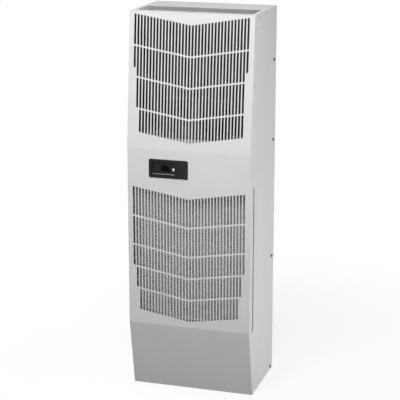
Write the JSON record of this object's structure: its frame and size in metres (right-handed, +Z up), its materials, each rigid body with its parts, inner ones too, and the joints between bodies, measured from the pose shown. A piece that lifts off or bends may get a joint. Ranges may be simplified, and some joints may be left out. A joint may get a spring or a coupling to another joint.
{
  "type": "enclosure air conditioner",
  "caption": "Tall wall-mounted air conditioner for an electrical enclosure: creased sheet-metal cover with chevron slot grilles, controller, slide-out filter, fans, coils and compressor",
  "frame": {"origin": "middle of the bounding box at the bottom edge of the cabinet", "axes": "+Z up, +Y out of the back towards the enclosure it is bolted to, the grilles face -Y, the filter slides out towards +X"},
  "size_m": [0.4388, 0.3294, 1.32],
  "materials": {
    "cabinet_paint": "light grey satin powder coat",
    "galvanised_steel": "galvanised sheet",
    "screw_zinc": "zinc plated",
    "screw_dark": "dark plated",
    "seal_rubber": "matt closed-cell rubber",
    "lining_foam": "charcoal open-cell foam",
    "filter_aluminium": "mill finish",
    "filter_mesh": "washable mesh",
    "bezel_plastic": "black fine-grain plastic",
    "display_plastic": "smoked clear window, unlit",
    "button_plastic": "white moulded plastic",
    "coil_aluminium": "bare aluminium",
    "fan_plastic": "black moulded plastic",
    "shaft_steel": "ground steel",
    "motor_paint": "black paint",
    "copper_line": "drawn copper tube",
    "valve_brass": "machined brass",
    "fitting_plastic": "black moulded plastic"
  },
  "bodies": {
    "cabinet": {"front_cover": "cabinet_paint", "side_panel_left": "cabinet_paint", "side_panel_right": "cabinet_paint", "back_panel": "cabinet_paint", "base_pan": "galvanised_steel", "divider_wall": "galvanised_steel", "fan_deck": "galvanised_steel", "lower_shelf": "galvanised_steel", "upper_shelf": "galvanised_steel", "filter_rail_lower": "galvanised_steel", "filter_rail_upper": "galvanised_steel", "coil_baffle": "galvanised_steel", "condenser_inlet_ring": "galvanised_steel", "evaporator_inlet_ring": "galvanised_steel", "motor_bracket": "galvanised_steel", "electrical_box": "galvanised_steel", "electrical_cover": "galvanised_steel", "drain_pan": "galvanised_steel", "cover_screws": "screw_zinc", "compressor_bolts": "screw_zinc", "flange_screws": "screw_dark", "mounting_gasket": "seal_rubber", "compressor_grommets": "seal_rubber", "drain_hose": "seal_rubber", "side_lining_left": "lining_foam", "side_lining_right": "lining_foam", "divider_lining": "lining_foam", "controller_bezel": "bezel_plastic", "controller_body": "bezel_plastic", "display_window": "display_plastic", "condenser_tubes": "coil_aluminium", "condenser_fins": "coil_aluminium", "condenser_end_plates": "coil_aluminium", "evaporator_tubes": "coil_aluminium", "evaporator_fins": "coil_aluminium", "evaporator_end_plates": "coil_aluminium", "run_capacitor": "coil_aluminium", "condenser_motor": "motor_paint", "evaporator_motor": "motor_paint", "compressor": "motor_paint", "accumulator": "motor_paint", "discharge_line": "copper_line", "liquid_line": "copper_line", "filter_drier": "copper_line", "feed_line": "copper_line", "suction_line": "copper_line", "expansion_valve": "valve_brass", "drain_barb": "fitting_plastic", "cable_gland": "fitting_plastic", "terminal_cover": "fitting_plastic", "terminal_block": "fitting_plastic"},
    "filter": {"filter_frame": "filter_aluminium", "filter_media": "filter_mesh"},
    "condenser_fan": {"condenser_impeller": "fan_plastic", "condenser_shaft": "shaft_steel"},
    "evaporator_fan": {"evaporator_impeller": "fan_plastic", "evaporator_shaft": "shaft_steel"},
    "button": {"select_button": "button_plastic"}
  },
  "joints": [
    {"name": "filter_slide", "type": "slide", "parent": "cabinet", "child": "filter", "axis": [1, 0, 0], "range_m": [0, 0.4]},
    {"name": "condenser_fan_spin", "type": "hinge", "parent": "cabinet", "child": "condenser_fan", "pos_m": [0, -0.05925, 0.9195], "axis": [0, 0, 1], "continuous": true},
    {"name": "evaporator_fan_spin", "type": "hinge", "parent": "cabinet", "child": "evaporator_fan", "pos_m": [0, 0.11625, 1.092], "axis": [0, 1, 0], "continuous": true},
    {"name": "button_press", "type": "slide", "parent": "cabinet", "child": "button", "axis": [0, 1, 0], "range_m": [0, 0.0015], "stiffness_N_per_m": 400}
  ]
}
